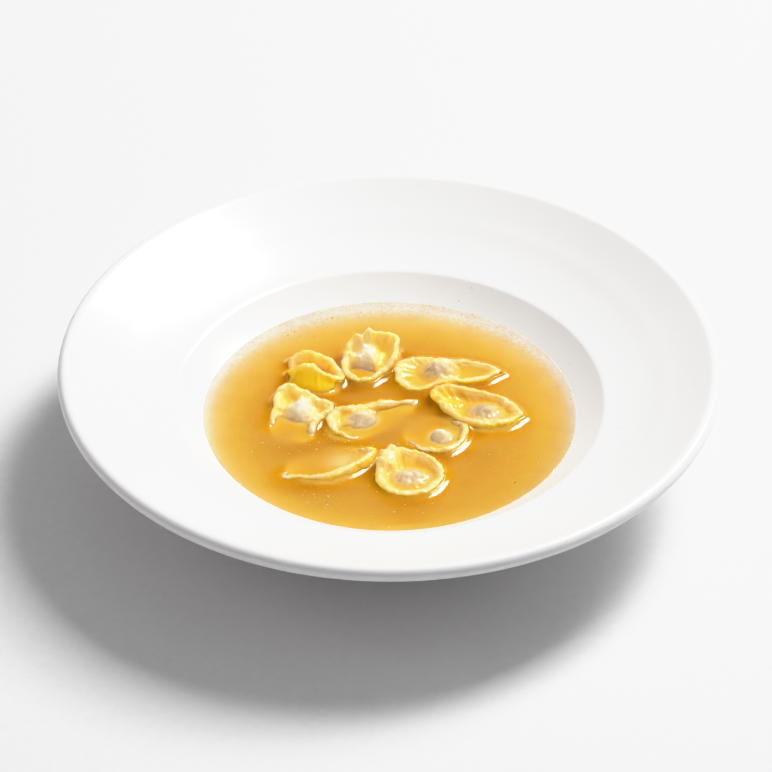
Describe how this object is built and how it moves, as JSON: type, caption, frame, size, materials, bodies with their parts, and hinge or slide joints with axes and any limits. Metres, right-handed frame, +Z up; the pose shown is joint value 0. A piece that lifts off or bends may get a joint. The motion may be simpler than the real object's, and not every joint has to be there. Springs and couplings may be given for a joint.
{
  "type": "tortellini in broth in a soup plate",
  "caption": "Wide-rimmed white soup plate with a rolled lip, filled with clear amber broth in which folded filled pasta floats.",
  "frame": {"origin": "centre of the foot ring, on the surface that the plate stands on", "axes": "+Z up through the plate's axis; +Y away from the side nearest the viewer, +X to the viewer's right"},
  "size_m": [0.27, 0.27, 0.0532],
  "materials": {
    "china": "smooth white glaze",
    "broth": "clear, slightly cloudy amber broth with a wet surface",
    "dough": "wet cooked egg dough, cream at its edges, with pale filling showing through"
  },
  "bodies": {
    "root": {"bowl": "china", "broth": "broth", "tortellino_1": "dough", "tortellino_2": "dough", "tortellino_3": "dough", "tortellino_4": "dough", "tortellino_5": "dough", "tortellino_6": "dough", "tortellino_7": "dough", "tortellino_8": "dough", "tortellino_9": "dough"}
  },
  "joints": []
}
